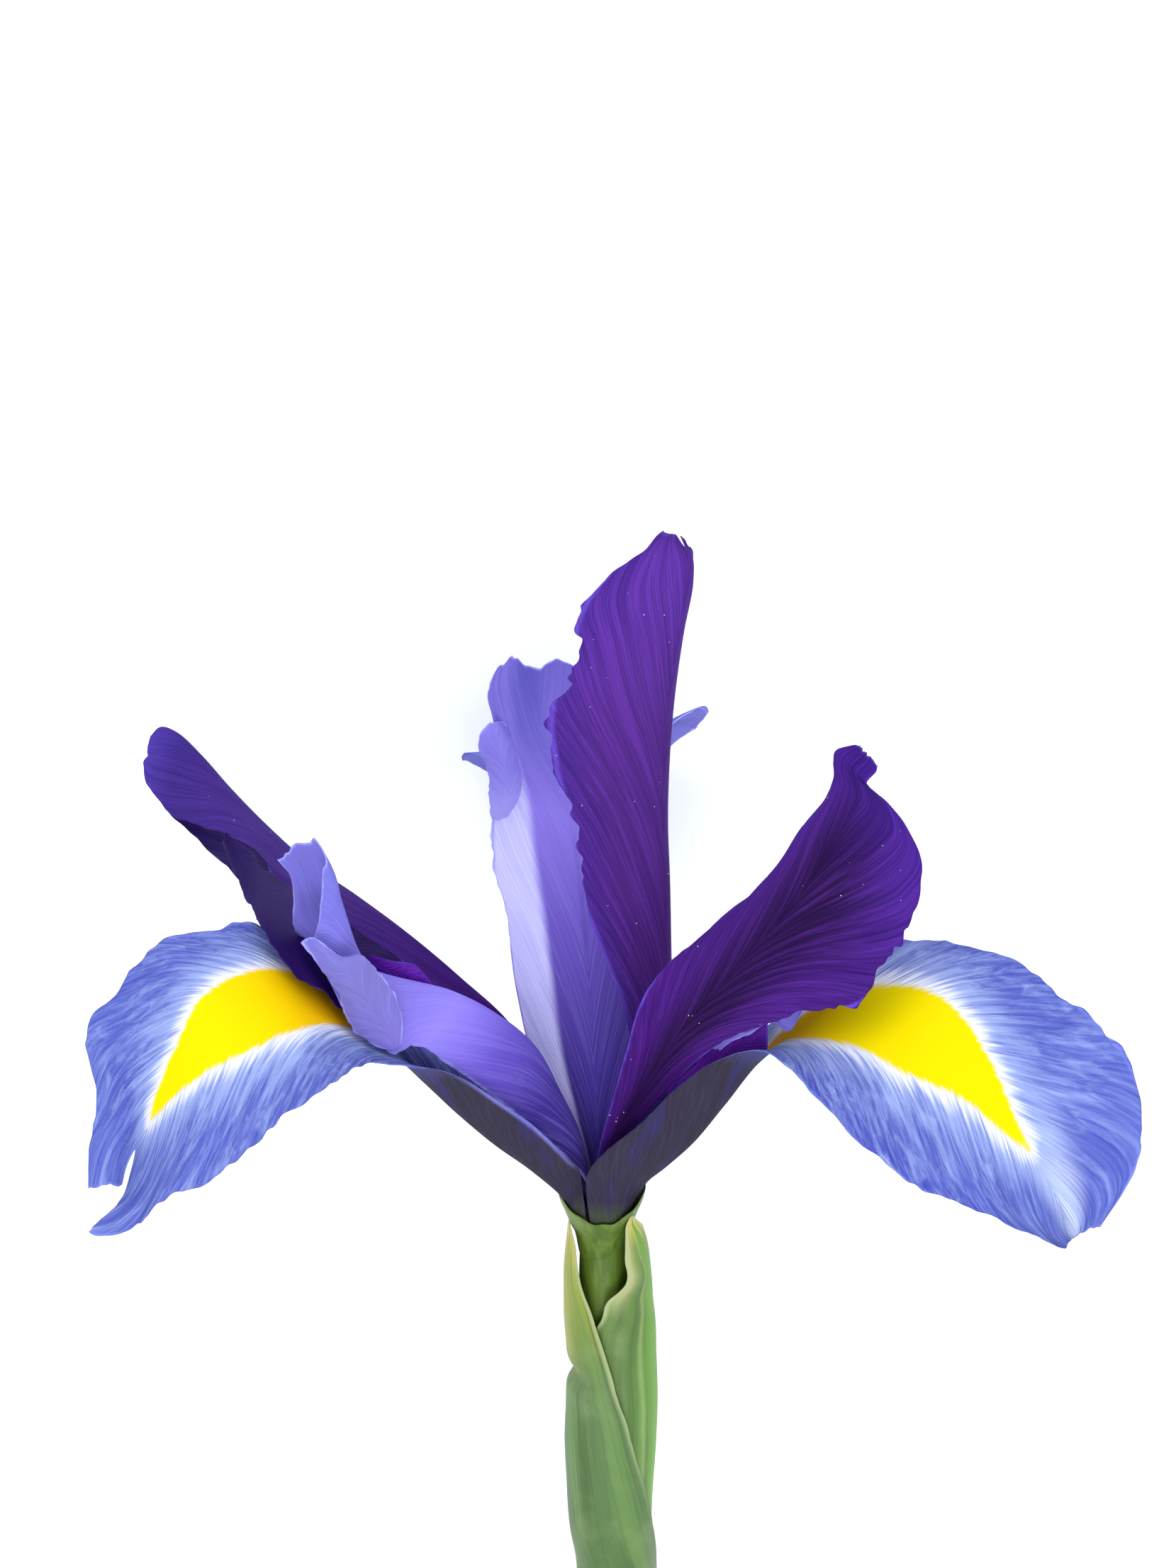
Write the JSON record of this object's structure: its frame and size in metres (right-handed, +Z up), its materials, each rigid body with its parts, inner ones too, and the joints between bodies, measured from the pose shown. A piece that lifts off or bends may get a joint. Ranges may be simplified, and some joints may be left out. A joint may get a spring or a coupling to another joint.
{
  "type": "iris flower",
  "caption": "Cut iris flower lying on its side: falls with yellow signals, violet standards, crested style arms, stamens, ovary, sheathing bracts and a bare stem.",
  "frame": {"origin": "middle of the underside of the bounding box, on the surface that the flower lies on", "axes": "+Z up, away from the surface; +Y along the stem towards the flower; +X to the right when the flower is seen from above with its stem towards the viewer"},
  "size_m": [0.1212, 0.2484, 0.0831],
  "materials": {
    "stem_green": "smooth, satin, faint lengthwise ribs",
    "ovary_green": "smooth, satin, yellower at the rim",
    "bract_green": "glaucous, matt, parallel veins, papery margins",
    "fall_blue": "velvety, veined, yellow signal with a white rim",
    "standard_violet": "velvety, deep violet, fine darker veins",
    "style_lavender": "satin, pale lavender, crinkled crest",
    "filament_lavender": "smooth, pale",
    "anther_cream": "matt, powdery"
  },
  "bodies": {
    "root": {"stem": "stem_green", "ovary": "ovary_green", "bract_outer": "bract_green", "bract_inner": "bract_green", "fall_left": "fall_blue", "fall_right": "fall_blue", "fall_back": "fall_blue", "standard_left": "standard_violet", "standard_upright": "standard_violet", "standard_front": "standard_violet", "style_left": "style_lavender", "style_right": "style_lavender", "style_back": "style_lavender", "filament_left": "filament_lavender", "filament_right": "filament_lavender", "filament_back": "filament_lavender", "anther_left": "anther_cream", "anther_right": "anther_cream", "anther_back": "anther_cream"}
  },
  "joints": []
}
